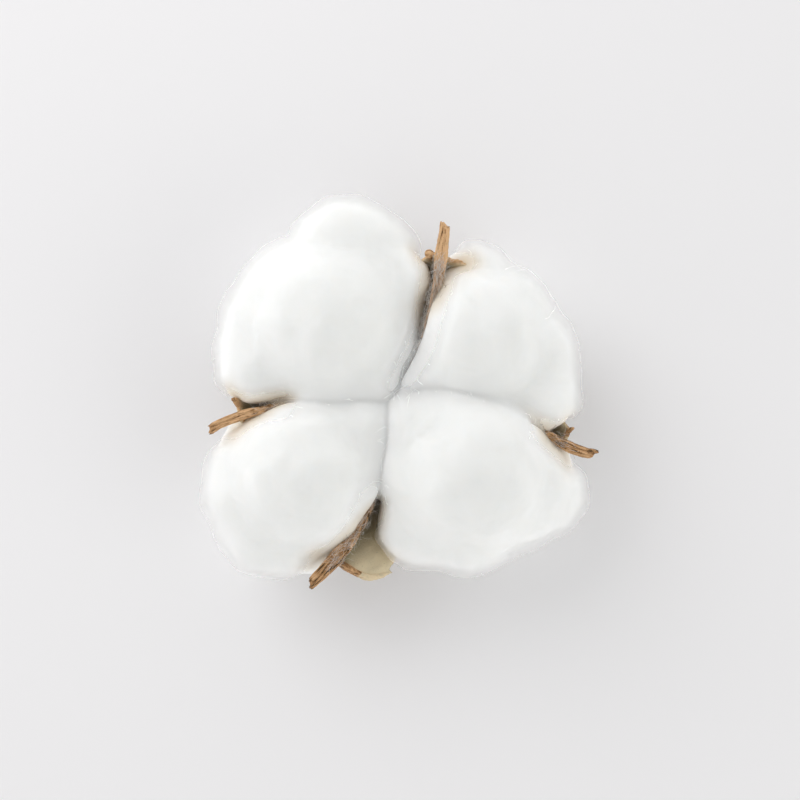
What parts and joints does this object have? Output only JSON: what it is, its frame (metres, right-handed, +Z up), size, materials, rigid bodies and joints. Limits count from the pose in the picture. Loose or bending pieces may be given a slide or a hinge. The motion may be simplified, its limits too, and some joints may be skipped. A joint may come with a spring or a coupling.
{
  "type": "cotton boll",
  "caption": "Open cotton boll as picked, with plump locks of white lint held between woody bur valves that end in forked spikes.",
  "frame": {"origin": "on the surface the boll lies on, under the middle of its outline seen from above", "axes": "+Z up out of the open side of the boll, +Y towards the spike at the top of the picture, +X to the picture's right"},
  "size_m": [0.0802, 0.0794, 0.0382],
  "materials": {
    "husk": "dry matt bur, brown rims and cream inner walls",
    "dry_leaf": "dry papery matt calyx",
    "lint": "white loose cotton fibre, fully matt"
  },
  "bodies": {
    "root": {"bur": "husk", "calyx": "dry_leaf", "lock_north_east": "lint", "lock_north_west": "lint", "lock_south_west": "lint", "lock_south_east": "lint"}
  },
  "joints": []
}
